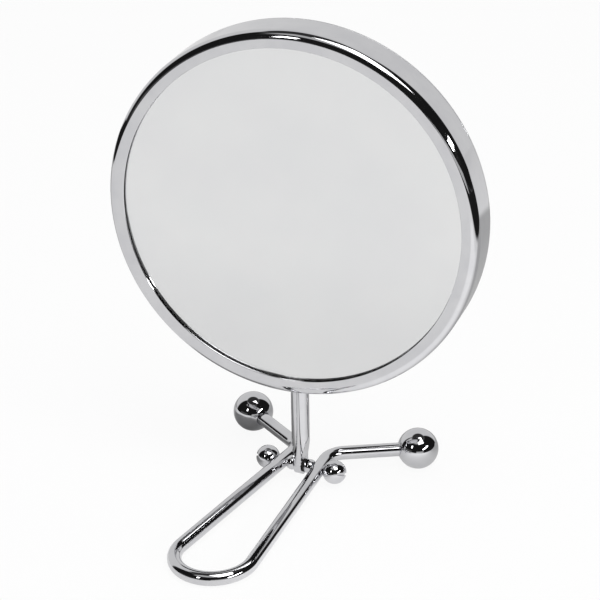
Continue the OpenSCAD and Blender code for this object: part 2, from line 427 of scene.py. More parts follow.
def heading(degrees: float) -> Vector:
    """Gives the direction in the XY plane that stands at an angle to +X."""
    return Vector((math.cos(math.radians(degrees)), math.sin(math.radians(degrees)), 0))


class Bench:
    """The steps by which every new piece is made, as by hand."""

    @staticmethod
    def clear() -> None:
        """Deselects everything, so that the next step acts on its own piece alone."""
        bpy.ops.object.select_all(action="DESELECT")

    @classmethod
    def pick(cls, piece: Piece) -> None:
        """Selects one piece and makes it the active one.

        Args:
            piece: the piece.
        """
        cls.clear()
        piece.select_set(True)
        bpy.context.view_layer.objects.active = piece

    @classmethod
    def draw(cls, name: str, points: list[Vector], closed: bool) -> Piece:
        """Draws a line of edges, and leaves it open for editing with all of it selected.

        Args:
            name: the new piece's name.
            points: the line's points, in millimetres.
            closed: whether the line comes back to its first point.

        Returns:
            The new piece, in edit mode.
        """
        cls.clear()
        bpy.ops.mesh.primitive_plane_add(size=MM)
        piece = bpy.context.object
        piece.name = piece.data.name = name
        bpy.ops.object.mode_set(mode="EDIT")
        bpy.ops.mesh.merge(type="CENTER")
        bpy.ops.transform.translate(value=points[0] * MM)
        line = points + points[:1] if closed else points
        for here, there in zip(line, line[1:]):
            bpy.ops.mesh.extrude_region_move(
                TRANSFORM_OT_translate={"value": (there - here) * MM}
            )
        bpy.ops.mesh.select_all(action="SELECT")
        bpy.ops.mesh.remove_doubles(threshold=WELD)
        return piece

    @classmethod
    def close(cls) -> None:
        """Welds what is being edited, turns its faces outwards and ends the editing."""
        bpy.ops.mesh.select_all(action="SELECT")
        bpy.ops.mesh.remove_doubles(threshold=WELD)
        bpy.ops.mesh.normals_make_consistent(inside=False)
        bpy.ops.object.mode_set(mode="OBJECT")

    @classmethod
    def lathe(
        cls, name: str, section: list[Point], steps: int, place: Matrix | None = None,
        ring: bool = False,
    ) -> Piece:
        """Turns a section about the Z axis.

        Args:
            name: the new piece's name.
            section: radii and heights, in millimetres. It starts and ends on the axis, or
                else it is a ring's.
            steps: the facets of a full turn.
            place: where the piece goes, or None to leave it about the origin.
            ring: whether the section closes on itself, clear of the axis.

        Returns:
            The turned piece.
        """
        piece = cls.draw(name, [Vector((r, 0, z)) for r, z in section], ring)
        bpy.ops.mesh.spin(
            steps=steps, angle=2 * math.pi, center=(0, 0, 0), axis=(0, 0, 1), use_auto_merge=True
        )
        cls.close()
        return cls.place(piece, place) if place else piece

    @classmethod
    def prism(
        cls, name: str, outline: list[Point], depth: float, place: Matrix | None = None
    ) -> Piece:
        """Extrudes an outline in X and Z along Y, the same way on both sides.

        Args:
            name: the new piece's name.
            outline: the outline's points, in millimetres.
            depth: the whole depth, in millimetres.
            place: where the piece goes, or None to leave it about the origin.

        Returns:
            The prism.
        """
        piece = cls.draw(name, [Vector((x, -depth / 2, z)) for x, z in outline], True)
        bpy.ops.mesh.edge_face_add()
        bpy.ops.mesh.extrude_region_move(TRANSFORM_OT_translate={"value": (0, depth * MM, 0)})
        cls.close()
        return cls.place(piece, place) if place else piece

    @classmethod
    def place(cls, piece: Piece, place: Matrix) -> Piece:
        """Moves a piece made about the origin to its place, and keeps that in its mesh.

        Args:
            piece: the piece.
            place: its place.

        Returns:
            The same piece.
        """
        piece.matrix_world = place
        cls.pick(piece)
        bpy.ops.object.transform_apply(location=True, rotation=True, scale=True)
        return piece

    @classmethod
    def combine(cls, piece: Piece, other: Piece, way: str) -> None:
        """Cuts a shape out of a piece or joins one to it, and clears the shape away.

        Args:
            piece: the piece that stays.
            other: the shape that is used up.
            way: DIFFERENCE or UNION.
        """
        cls.pick(piece)
        bpy.ops.object.modifier_add(type="BOOLEAN")
        step = piece.modifiers[-1]
        step.operation, step.solver, step.object = way, "EXACT", other
        bpy.ops.object.modifier_apply(modifier=step.name)
        bpy.data.objects.remove(other, do_unlink=True)

    @classmethod
    def soften(cls, piece: Piece, width: float, segments: int = 3) -> None:
        """Rounds a piece's sharp edges.

        Args:
            piece: the piece.
            width: how far the rounding reaches, in millimetres.
            segments: the facets of the rounding.
        """
        cls.pick(piece)
        bpy.ops.object.modifier_add(type="BEVEL")
        step = piece.modifiers[-1]
        step.width, step.segments, step.limit_method = width * MM, segments, "ANGLE"
        step.angle_limit, step.harden_normals = CREASE, False
        bpy.ops.object.modifier_apply(modifier=step.name)


@dataclass(frozen=True)
class Hinge:
    """Where the hinge's pin lies, and the frames that the pieces are made in."""

    post_reach: float = 111.4
    head_turn: float = 7.8
    stand_pitch: float = 2.706

    @property
    def post_frame(self) -> Matrix:
        """The post's own frame: its foot in the middle of the hinge's pin, and +Z up."""
        low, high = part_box("hinge_screw")
        return Matrix.Translation((low + high) / 2)

    @property
    def stand_frame(self) -> Matrix:
        """The plane that the wire lies in, pitched about the pin."""
        return self.post_frame @ turned(self.stand_pitch, "X")

    def head_frame(self, face: Face) -> Matrix:
        """Gives the head's own frame as seen from one of its faces.

        Args:
            face: the face that +Z comes out of.

        Returns:
            The frame, with its origin in the middle of the head.
        """
        middle = self.post_frame @ moved(0, 0, self.post_reach)
        front = middle @ turned(self.head_turn, "Z") @ turned(90, "X")
        return front if face is Face.FRONT else front @ turned(180, "X")

    def across(self, side: Side, distance: float) -> Matrix:
        """Gives a place on the pin, with +Z pointing outwards along it.

        Args:
            side: the side it is on.
            distance: how far out it is, in millimetres.

        Returns:
            The place.
        """
        out = moved(side.value * distance, 0, 0)
        return self.stand_frame @ out @ turned(side.value * 90, "Y")


HINGE = Hinge()


class SubAssembly:
    """What the sub-assemblies share: dressing a piece and handing it to the frame."""

    body: Body

    def hand_over(
        self, piece: Piece, finish: Finish, slot: str, *nodes: str, crease: float = CREASE
    ) -> Piece:
        """Dresses a finished piece, puts it on its body and hides the nodes it stands for.

        Args:
            piece: the finished piece.
            finish: its finish.
            slot: the material slot of the record that it stands for; not used.
            nodes: the frame's nodes that it replaces.
            crease: the edges that stay crisp are sharper than this, in radians.

        Returns:
            The same piece.
        """
        Bench.pick(piece)
        bpy.ops.object.shade_smooth_by_angle(angle=crease)
        piece.data.materials.clear()
        piece.data.materials.append(finish.material())
        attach(piece, self.body.value)
        if nodes:
            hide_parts(*nodes)
        faces = len(piece.data.polygons)
        LOG.info("%s on %s: %d faces, %s", piece.name, self.body.value, faces, finish.name)
        return piece

    def dress(self, name: str, finish: Finish) -> None:
        """Gives a node of the frame, which stays as it is, its finish."""
        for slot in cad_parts[name].material_slots:
            slot.material = finish.material()
        LOG.info("%s keeps its shape: %s", name, finish.name)


# ---------------------------------------------------------------- the head


@dataclass
class Head(SubAssembly):
    """The drum with its two rolled corners and lips, the two glasses and what packs them."""

    body: Body = Body.HEAD
    rim_d: float = 150.0
    rim_depth: float = 19.8
    sheet: float = 0.7
    corner_r: float = 3.4
    lip_w: float = 3.3
    skirt_gap: float = 0.3
    skirt_t: float = 0.8
    bush_d: float = 8.0
    seam_r: float = 0.14
    bezel_edge_r: float = 0.03
    glass_t: float = 1.5
    glass_edge_gap: float = 0.6
    arris: float = 0.3
    coat_t: float = 0.04
    magnifier_curve_r: float = 900.0
    pad_t: float = 1.2
    pad_w: float = 5.0
    pad_round: float = 0.35
    spigot_hole_d: float = 4.1
    # How far the evenly spaced points of a straight side stay from its ends.
    lip_margin: float = 0.4
    wall_margin: float = 1.0
    turn_steps: int = 288

    @property
    def rim_r(self) -> float:
        """The rim's outside radius."""
        return self.rim_d / 2

    @property
    def wall_r(self) -> float:
        """The drum's inside radius."""
        return self.rim_r - self.sheet

    @property
    def hollow_r(self) -> float:
        """The radius of the rolled corner's hollow side."""
        return self.corner_r - self.sheet

    @property
    def shoulder_at(self) -> float:
        """How far from the middle the rolled corner starts."""
        return self.rim_depth / 2 - self.corner_r

    @property
    def crest_r(self) -> float:
        """The radius at which the rolled corner has become the flat lip."""
        return self.rim_r - self.corner_r

    @property
    def lip_back(self) -> float:
        """How far the lip's back, which the glass lies against, is from the middle."""
        return self.rim_depth / 2 - self.sheet

    @property
    def glass_r(self) -> float:
        """The radius of both glasses."""
        return self.crest_r - self.glass_edge_gap

    def rolled_edge(self) -> list[Point]:
        """Gives the section of a rolled corner and its lip, from the drum's outside inwards.

        Returns:
            The points over the corner, along the lip, round the lip's free edge and back to
            the hollow of the corner.
        """
        half_depth, half_sheet = self.rim_depth / 2, self.sheet / 2
        crest, margin = self.crest_r - self.lip_margin, self.lip_margin
        edge = (self.crest_r - self.lip_w + half_sheet, half_depth - half_sheet)
        return [
            *arc((self.crest_r, self.shoulder_at), self.corner_r, 0, 90, steps=24),
            *run((crest, half_depth), (edge[0] + margin, half_depth), steps=4),
            *arc(edge, half_sheet, 90, 270),
            (crest, self.lip_back),
        ]

    def raw_edge(self, height: float, radius: float) -> list[Point]:
        """Gives the rounded outside of a raw edge that lies at a height."""
        return arc((self.rim_r - radius, height + radius), radius, -90, 0, steps=4)

    def drum(self) -> Piece:
        """Makes the drum with the front corner and lip, drilled for the post.

        Returns:
            The drum.
        """
        low, high, margin = -self.shoulder_at, self.shoulder_at, self.wall_margin
        section = [
            (self.wall_r, low),
            *self.raw_edge(low, self.seam_r),
            *run((self.rim_r, low + margin), (self.rim_r, high - margin), steps=10),
            *self.rolled_edge(),
            *arc((self.crest_r, high), self.hollow_r, 90, 0),
            *run((self.wall_r, high - margin), (self.wall_r, low + margin), steps=10),
        ]
        frame_here = HINGE.head_frame(Face.FRONT)
        piece = Bench.lathe("rim_drum", section, self.turn_steps, frame_here, ring=True)
        hole_r, top = self.spigot_hole_d / 2, 2 * self.sheet
        start = HINGE.post_reach - self.rim_r - self.sheet / 2
        drill = Bench.lathe(
            "spigot_drill", [(0, -LEAD), (hole_r, -LEAD), (hole_r, top), (0, top)], steps=48,
            place=HINGE.post_frame @ moved(0, 0, start),
        )
        Bench.combine(piece, drill, "DIFFERENCE")
        return piece

    def bezel(self) -> Piece:
        """Makes the rear corner and lip, with the skirt that plugs into the drum.

        Returns:
            The bezel.
        """
        skirt_r, skirt_end = self.wall_r - self.skirt_t, self.bush_d / 2 + self.skirt_gap
        root = math.degrees(math.acos((skirt_r - self.crest_r) / self.hollow_r))
        section = [
            (self.wall_r, self.shoulder_at),
            *self.raw_edge(self.shoulder_at, self.bezel_edge_r),
            *self.rolled_edge()[1:],
            *arc((self.crest_r, self.shoulder_at), self.hollow_r, 90, root, steps=8),
            (skirt_r, skirt_end + self.seam_r),
            (skirt_r + self.seam_r, skirt_end),
            (self.wall_r - self.seam_r, skirt_end),
            (self.wall_r, skirt_end + self.seam_r),
        ]
        frame_here = HINGE.head_frame(Face.REAR)
        return Bench.lathe("rear_rolled_bezel", section, self.turn_steps, frame_here, ring=True)

    def sag(self, radius: float, face: Face) -> float:
        """Gives how far a glass lies in from its edge at a radius: nothing on the plain one."""
        if face is Face.FRONT:
            return 0.0
        return (self.glass_r**2 - radius**2) / (2 * self.magnifier_curve_r)

    def glass_sheet(
        self, name: str, face: Face, low: float, high: float, edge_r: float, arris: float
    ) -> Piece:
        """Makes a round sheet that follows a glass's curve, with its front edge ground off.

        Args:
            name: the new piece's name.
            face: the glass that it belongs to.
            low: the height of its back at the glass's edge.
            high: the height of its front at the glass's edge.
            edge_r: its radius.
            arris: how much of its front edge is ground off.

        Returns:
            The sheet.
        """
        rows = 36
        radii = [edge_r * i / rows for i in range(rows + 1)]
        back = [(r, low - self.sag(r, face)) for r in radii]
        front = [(r, high - self.sag(r, face)) for r in reversed(radii[:-1])]
        rim = [(edge_r, high - arris), (edge_r - arris, high - self.sag(edge_r - arris, face))]
        return Bench.lathe(name, back + rim + front, self.turn_steps, HINGE.head_frame(face))

    def foam_ring(self) -> Piece:
        """Makes the soft ring behind the magnifying glass, shaped to its curve.

        Returns:
            The ring, with rounded corners.
        """
        inner_r, back = self.glass_r - self.pad_w, self.lip_back - self.glass_t
        soft, rows = self.pad_round, 8
        low = back - self.sag(inner_r, Face.REAR) - self.pad_t
        radii = [inner_r + soft + (self.pad_w - 2 * soft) * i / rows for i in range(rows + 1)]
        section = [
            *arc((inner_r + soft, low + soft), soft, 180, 270, steps=5),
            *arc((self.glass_r - soft, low + soft), soft, 270, 360, steps=5),
            (self.glass_r, back - soft),
            *[(r, back - self.sag(r, Face.REAR)) for r in reversed(radii)],
            (inner_r, back - self.sag(inner_r, Face.REAR) - soft),
        ]
        frame_here = HINGE.head_frame(Face.REAR)
        return Bench.lathe("foam_ring", section, steps=192, place=frame_here, ring=True)

    def make(self) -> None:
        """Makes and dresses the whole head."""
        self.hand_over(self.drum(), RIM_CHROME, "chrome_rim", "rim_shell")
        self.hand_over(self.bezel(), RIM_CHROME, "chrome_rim", "rear_bezel")
        back = self.lip_back - self.glass_t
        for face, slot in (Face.FRONT, "looking_glass"), (Face.REAR, "magnifying_glass"):
            clear = self.glass_sheet(
                f"{face.value}_clear_glass", face, back + self.coat_t / 2, self.lip_back,
                self.glass_r, self.arris,
            )
            self.hand_over(clear, CLEAR_GLASS, slot, f"{face.value}_glass")
            coat = self.glass_sheet(
                f"{face.value}_silvering", face, back, back + self.coat_t,
                self.glass_r - self.arris, 0.0,
            )
            self.hand_over(coat, SILVER_COAT, slot)
        # The foam's small roundings are few-faced, and still shade as one.
        round_all = math.radians(60)
        ring = self.hand_over(self.foam_ring(), FOAM, "foam", "rear_pad", crease=round_all)
        self.dress("front_board", HARDBOARD)
        self.dress("spacer_hoop", SPRING_STEEL)
        self.dress("post_bush", BRASS)


# ---------------------------------------------------------------- the post


@dataclass
class Post(SubAssembly):
    """The turned post, pressed flat to a tongue round the pin, with its spigot in the head."""

    body: Body = Body.POST
    post_d: float = 7.3
    shoulder_h: float = 36.2
    shoulder_chamfer: float = 0.25
    tongue_t: float = 3.2
    flat_h: float = 4.2
    round_h: float = 13.5
    press_r: float = 7.0
    # How far the cutters for the press run out past the bar, and up past the press.
    press_margin: float = 0.3
    press_top: float = 2.0
    # How far above the press the bar's evenly spaced points reach.
    even_above: float = 3.0
    pin_hole_d: float = 3.3
    spigot_d: float = 4.0
    spigot_top: float = 44.65
    spigot_chamfer: float = 0.5
    edge_round: float = 0.22

    def bar(self) -> Piece:
        """Turns the bar and its spigot.

        Returns:
            The turned bar, from the pin upwards.
        """
        r, spigot_r = self.post_d / 2, self.spigot_d / 2
        section = [
            (0, 0),
            *run((r, 0), (r, self.round_h + self.even_above), steps=24),
            (r, self.shoulder_h - self.shoulder_chamfer),
            (r - self.shoulder_chamfer, self.shoulder_h),
            (spigot_r, self.shoulder_h),
            (spigot_r, self.spigot_top - self.spigot_chamfer),
            (spigot_r - self.spigot_chamfer, self.spigot_top),
            (0, self.spigot_top),
        ]
        return Bench.lathe("post_bar", section, steps=128)

    def cheek_cutter(self, side: Side) -> Piece:
        """Makes what the press takes off one side of the bar.

        Args:
            side: the side of the bar.

        Returns:
            The cutter: flat along the tongue, and then leaning out with a soft start.
        """
        half, r, margin = self.tongue_t / 2, self.post_d / 2, self.press_margin
        rise, widening = self.round_h - self.flat_h, r - half
        lean = math.degrees(math.atan2(widening, rise))
        tangent = self.press_r * math.tan(math.radians(lean / 2))
        hollow = (half + self.press_r, self.flat_h - tangent)
        outline = [
            (half, -self.post_d),
            *arc(hollow, self.press_r, 180, 180 - lean, steps=8),
            (r + margin, self.round_h + margin * rise / widening),
            (self.post_d, self.round_h + self.press_top),
            (self.post_d, -self.post_d),
        ]
        return Bench.prism(
            "cheek_cutter", [(side.value * x, z) for x, z in outline], 2 * self.post_d
        )

    def tongue_end(self) -> Piece:
        """Makes the round end of the tongue, about the pin.

        Returns:
            The end, which the bar still has to be joined to.
        """
        half, r = self.tongue_t / 2, self.post_d / 2
        section = [(0, -half), *run((r, -half), (r, half), steps=4), (0, half)]
        return Bench.lathe("tongue_end", section, steps=128, place=turned(90, "Y"))

    def pin_drill(self) -> Piece:
        """Makes the drill for the pin's hole.

        Returns:
            The drill, which reaches past the bar on both sides.
        """
        r, reach = self.pin_hole_d / 2, self.post_d
        section = [(0, -reach), (r, -reach), (r, reach), (0, reach)]
        return Bench.lathe("pin_drill", section, steps=64, place=turned(90, "Y"))

    def make(self) -> None:
        """Makes and dresses the post, and dresses its nut and washer."""
        piece = self.bar()
        Bench.combine(piece, self.tongue_end(), "UNION")
        for side in Side:
            Bench.combine(piece, self.cheek_cutter(side), "DIFFERENCE")
        Bench.combine(piece, self.pin_drill(), "DIFFERENCE")
        Bench.soften(piece, self.edge_round)
        Bench.place(piece, HINGE.post_frame)
        piece.name = piece.data.name = "turned_post"
        self.hand_over(piece, BAR_CHROME, "chrome_post", "post")
        self.dress("post_nut", ZINC)
        self.dress("post_washer", ZINC)


# ---------------------------------------------------------------- the stand


@dataclass
class Stand(SubAssembly):
    """The bent wire with its ball feet, and the screw, nuts, beads and washers of the hinge."""

    body: Body = Body.STAND
    wire_d: float = 5.6
    wire_at_pin: float = 8.2
    leg_splay: float = 5.7
    loop_reach: float = 88.1
    arm_sweep: float = 30.5
    bend_r: float = 9.0
    # Points on the straight stretches: before the pin, and as a share of the arm.
    pin_run: float = 6.0
    arm_share: float = 0.6
    ball_d: float = 16.8
    ball_out: float = 38.2
    ball_back: float = 30.5
    ball_seat: float = 2.0
    mouth_chamfer: float = 0.35
    screw_d: float = 3.2
    screw_clear: float = 0.05
    spot_face_depth: float = 0.3
    spot_face_d: float = 6.6
    ball_nut_d: float = 9.7
    ball_nut_out: float = 15.1
    slot_w: float = 1.2
    slot_depth: float = 1.9
    slot_angle: float = 27.0
    screw_end_gap: float = 0.6
    nut_edge: float = 0.14
    bead_d: float = 5.9
    washer_in: float = 1.65
    friction_t: float = 0.5
    friction_d: float = 5.4

    @property
    def wire_in(self) -> float:
        """Where the wire's inner spot face lies, out from the middle."""
        return self.wire_at_pin - self.wire_d / 2 + self.spot_face_depth

    @property
    def wire_out(self) -> float:
        """Where the wire's outer spot face lies, out from the middle."""
        return self.wire_at_pin + self.wire_d / 2 - self.spot_face_depth

    @property
    def washer_out(self) -> float:
        """Where the friction washer's outer face lies, out from the middle."""
        return self.washer_in + self.friction_t

    @property
    def hole_r(self) -> float:
        """The radius of the holes that the screw passes through."""
        return self.screw_d / 2 + self.screw_clear

    def right_half(self) -> list[tuple[Vector, float]]:
        """Lays out the right half of the wire's centre line, in the stand's plane.

        Returns:
            The points from the front of the loop to the wire's end, each with the angle of the
            wire's direction there, in degrees. Neighbours are joined by an arc or a line.
        """
        splay, sweep = math.radians(self.leg_splay), math.radians(self.arm_sweep)
        leg_turn = 90 + self.leg_splay
        leg, arm = heading(leg_turn), heading(self.arm_sweep)
        centre = (self.loop_reach - self.wire_at_pin * math.cos(splay)) / (1 + math.sin(splay))
        loop_r, stops = self.loop_reach - centre, 3
        loop_turns = [leg_turn * i / stops for i in range(stops + 1)]
        loop = [(Vector((0, -centre, 0)) + loop_r * heading(a - 90), a) for a in loop_turns]
        ball = Vector((self.ball_out, self.ball_back, 0))
        arm_len = (self.ball_out - self.wire_at_pin + self.ball_back * math.tan(splay)) / (
            math.cos(sweep) + math.tan(splay) * math.sin(sweep)
        )
        apex, bend = ball - arm_len * arm, leg_turn - self.arm_sweep
        tangent = self.bend_r * math.tan(math.radians(bend / 2))
        rear = apex - tangent * leg
        hub = rear + self.bend_r * heading(self.leg_splay)
        half_way = hub + self.bend_r * heading(180 + self.leg_splay - bend / 2)
        pin = Vector((self.wire_at_pin, 0, 0))
        return [
            *loop,
            (pin - self.pin_run * leg, leg_turn),
            (pin, leg_turn),
            (rear, leg_turn),
            (half_way, leg_turn - bend / 2),
            (apex + tangent * arm, self.arm_sweep),
            (apex + self.arm_share * arm_len * arm, self.arm_sweep),
            (ball + self.ball_seat * arm, self.arm_sweep),
        ]

    def bent_rod(self) -> Piece:
        """Bends the wire through the whole centre line, from its left end to its right end.

        Returns:
            The wire in the stand's plane, not yet drilled.
        """
        right = self.right_half()
        left = [(Vector((-p.x, p.y, 0)), -turn) for p, turn in reversed(right[1:])]
        line = left + right
        Bench.clear()
        bpy.ops.curve.primitive_bezier_curve_add()
        curve = bpy.context.object
        curve.name = "bent_wire"
        curve.data.dimensions = "3D"
        curve.data.resolution_u = 18
        curve.data.bevel_depth = self.wire_d / 2 * MM
        curve.data.bevel_resolution = 22
        curve.data.use_fill_caps = True
        knots = curve.data.splines[0].bezier_points
        knots.add(len(line) - 2)
        for knot, (point, _) in zip(knots, line):
            knot.handle_left_type = knot.handle_right_type = "FREE"
            knot.co = knot.handle_left = knot.handle_right = point * MM
        for i, ((here, turn_here), (there, turn_there)) in enumerate(zip(line, line[1:])):
            angle = math.radians(abs(turn_there - turn_here))
            reach = (there - here).length / 3
            if angle:
                reach *= 2 * math.tan(angle / 4) / math.sin(angle / 2)
            knots[i].handle_right = knots[i].co + reach * MM * heading(turn_here)
            knots[i + 1].handle_left = knots[i + 1].co - reach * MM * heading(turn_there)
        bpy.ops.object.convert(target="MESH")
        bpy.ops.object.mode_set(mode="EDIT")
        Bench.close()
        return bpy.context.object

    def wire(self) -> Piece:
        """Makes the wire, with its two hinge holes and the spot faces round them.

        Returns:
            The wire.
        """
        piece = self.bent_rod()
        face_r, thick = self.spot_face_d / 2, self.wire_out - self.wire_in
        section = [
            (0, -self.wire_in), (face_r, -self.wire_in), (face_r, 0), (self.hole_r, 0),
            (self.hole_r, thick), (face_r, thick), (face_r, self.wire_d), (0, self.wire_d),
        ]
        for side in Side:
            place = moved(side.value * self.wire_in, 0, 0) @ turned(side.value * 90, "Y")
            drill = Bench.lathe("hinge_drill", section, steps=64, place=place)
            Bench.combine(piece, drill, "DIFFERENCE")
        return Bench.place(piece, HINGE.stand_frame)

    def ball_foot(self, side: Side) -> Piece:
        """Makes a ball foot, bored for the wire's end, with the bore's mouth chamfered.

        Args:
            side: the side it stands on.

        Returns:
            The ball.
        """
        ball_r, bore_r = self.ball_d / 2, self.wire_d / 2
        mouth = math.degrees(math.acos((bore_r + self.mouth_chamfer) / ball_r))
        mouth_at = -ball_r * math.sin(math.radians(mouth))
        section = [
            (0, self.ball_seat),
            (bore_r, self.ball_seat),
            (bore_r, self.mouth_chamfer + mouth_at),
            *arc((0, 0), ball_r, -mouth, 90, steps=72),
        ]
        arm = self.arm_sweep if side is Side.RIGHT else 180 - self.arm_sweep
        centre = HINGE.stand_frame @ moved(side.value * self.ball_out, self.ball_back, 0)
        place = centre @ turned(arm, "Z") @ turned(90, "Y")
        return Bench.lathe(f"{side.word}_ball", section, steps=144, place=place)

    def ball_nut(self, side: Side) -> Piece:
        """Makes a ball nut, seated on the wire, with a slot for a screwdriver.

        Args:
            side: the side it is on.

        Returns:
            The nut.
        """
        nut_r, bore_r = self.ball_nut_d / 2, self.screw_d / 2
        seat = self.wire_out - self.ball_nut_out
        low = math.degrees(math.asin(seat / nut_r))
        slot_floor = nut_r - self.slot_depth
        bore_end = slot_floor - self.screw_end_gap
        ball = arc((0, 0), nut_r, low, 90, steps=60)
        section = [(0, bore_end), (bore_r, bore_end), (bore_r, seat), *ball]
        centre = HINGE.across(side, self.ball_nut_out)
        piece = Bench.lathe(f"{side.word}_slotted_nut", section, steps=112, place=centre)
        level = centre @ turned(side.value * -90, "Y") @ turned(-self.slot_angle, "X")
        outwards = turned(0 if side is Side.RIGHT else 180, "Z")
        half_w, top = self.slot_w / 2, nut_r + LEAD
        saw = Bench.prism(
            "slot_saw",
            [(slot_floor, -half_w), (slot_floor, half_w), (top, half_w), (top, -half_w)],
            2 * self.ball_nut_d, level @ outwards,
        )
        Bench.combine(piece, saw, "DIFFERENCE")
        Bench.soften(piece, self.nut_edge)
        return piece

    def spacer_bead(self, side: Side) -> Piece:
        """Makes a bead that spaces the wire from the tongue, flat on both sides.

        Args:
            side: the side it is on.

        Returns:
            The bead.
        """
        half = (self.wire_in - self.washer_out) / 2
        lean = math.degrees(math.asin(2 * half / self.bead_d))
        round_side = arc((0, 0), self.bead_d / 2, -lean, lean, steps=32)
        section = [(self.hole_r, half), (self.hole_r, -half), *round_side]
        piece = Bench.lathe(f"{side.word}_bead", section, steps=96, ring=True)
        Bench.soften(piece, self.nut_edge / 2, segments=2)
        return Bench.place(piece, HINGE.across(side, self.washer_out + half))

    def friction_washer(self, side: Side) -> Piece:
        """Makes a washer between a bead and the tongue, with its outer edges worn round.

        Args:
            side: the side it is on.

        Returns:
            The washer.
        """
        r, t = self.friction_d / 2, self.friction_t
        worn = t / 4
        section = [
            (self.hole_r, t),
            (self.hole_r, 0),
            *arc((r - worn, worn), worn, -90, 0, steps=3),
            *arc((r - worn, t - worn), worn, 0, 90, steps=3),
        ]
        place = HINGE.across(side, self.washer_in)
        name = f"{side.word}_fibre_washer"
        return Bench.lathe(name, section, steps=80, place=place, ring=True)

    def make(self) -> None:
        """Makes and dresses the whole stand."""
        self.hand_over(self.wire(), WIRE_CHROME, "chrome_wire", "wire_frame")
        parts = (
            (self.ball_foot, BALL_CHROME, "chrome_ball", "ball_foot"),
            (self.ball_nut, BALL_CHROME, "chrome_ball", "ball_nut"),
            (self.spacer_bead, BALL_CHROME, "chrome_ball", "spacer_bead"),
            (self.friction_washer, FIBRE, "fibre", "friction_washer"),
        )
        for side in Side:
            for make_part, finish, slot, name in parts:
                self.hand_over(make_part(side), finish, slot, f"{side.word}_{name}")
        self.dress("hinge_screw", ZINC)


# ---------------------------------------------------------------- the studio


def towards(azimuth: float, elevation: float) -> Vector:
    """Gives the direction at an azimuth, from the front towards +X, and an elevation."""
    a, e = math.radians(azimuth), math.radians(elevation)
    return Vector((math.sin(a) * math.cos(e), -math.cos(a) * math.cos(e), math.sin(e)))


@dataclass(frozen=True)
class Zone:
    """A lighter or darker zone, with soft limits.

    On the paper they are in metres, across and along it. In the room they are in degrees: the
    azimuth from the front towards +X, and the elevation from the horizon upwards.
    """

    across: Range
    along: Range
    level: float
    soft: float = 0.07

    def mask(self, tree: Tree, place: tuple[Socket, Socket]) -> Socket:
        """Adds a mask that is 1 where a place is inside the zone."""
        pairs = zip(place, (self.across, self.along))
        return calc(tree, "MULTIPLY", *(window(tree, at, ends, self.soft) for at, ends in pairs))

    def over(self, tree: Tree, place: tuple[Socket, Socket], level: Socket | float) -> Socket:
        """Lays the zone over what was there, and gives the level at a place."""
        return blend(tree, self.mask(tree, place), level, self.level)


@dataclass(frozen=True)
class SoftBox:
    """A square studio lamp that faces the object."""

    name: str
    azimuth: float
    elevation: float
    distance: float
    width: float
    height: float
    level: float
    lean: float = 0.0

    def make(self, target: Vector) -> None:
        """Hangs the lamp.

        Args:
            target: the point that it faces.
        """
        back = towards(self.azimuth, self.elevation)
        Bench.clear()
        bpy.ops.object.light_add(type="AREA", location=target + self.distance * back)
        lamp = bpy.context.object
        lamp.name = self.name
        facing = back.to_track_quat("Z", "Y").to_matrix()
        lamp.rotation_euler = (facing @ turned(self.lean, "Z").to_3x3()).to_euler()
        lamp.data.shape = "RECTANGLE"
        lamp.data.size, lamp.data.size_y = self.width, self.height
        lamp.data.energy = self.level * math.pi * self.width * self.height
        lamp.visible_camera = False
        LOG.info("lamp %s", self.name)


@dataclass(frozen=True)
class Screen:
    """A pale or dim thing that stands on the floor, which only metal and glass show."""

    name: str
    azimuth: float
    distance: float
    width: float
    height: float
    level: float

    def make(self) -> None:
        """Stands the screen up, facing the object."""
        Bench.clear()
        bpy.ops.mesh.primitive_grid_add(x_subdivisions=8, y_subdivisions=2, size=1)
        screen = bpy.context.object
        screen.name = self.name
        place = Matrix.Translation((0, -self.distance, self.height / 2)) @ turned(90, "X")
        size = Matrix.Diagonal((self.width, self.height, 1, 1))
        Bench.place(screen, turned(self.azimuth, "Z") @ place @ size)
        glow = {"Color": linear("#FFFFFF"), "Strength": self.level}
        screen.data.materials.append(Recipe(self.name).end("Emission", glow))
        screen.visible_camera = screen.visible_diffuse = screen.visible_shadow = False
        LOG.info("screen %s", self.name)


@dataclass(frozen=True)
class Sheet:
    """The pale paper under the object, as the bright metal and the glasses see it.

    It lies flat in front and under the object, and then sweeps up to the backdrop. Its limits
    are in metres, and those of the sweep's side in degrees.
    """

    across: Range = (-0.6, 0.36)
    along: Range = (-1.3, 0.42)
    sweep_side: float = 138.0
    sweep_soft: float = 4.01
    level: float = 0.92
    sweep_level: float = 0.88
    beyond: float = 0.015
    soft: float = 0.07
    real_light: float = 0.3
    # Painted shade and painted light that metal and glass see on the paper.
    painted_zones: tuple[Zone, ...] = (
        # Painted shade, where the object's own shadow falls behind it.
        Zone((-0.6, 0.38), (0.06, 0.42), 0.36),
        # Painted light: the pool of the lamps' light, to the right of the post.
        Zone((0.015, 0.14), (-0.07, 0.025), 1.22, 0.05),
        Zone((0.1, 0.28), (-0.3, 0.0), 1.25),
        # Painted shade in the corner behind the left arm, which no lamp reaches.
        Zone((-0.085, -0.02), (0.0, 0.058), 0.1, 0.02),
    )


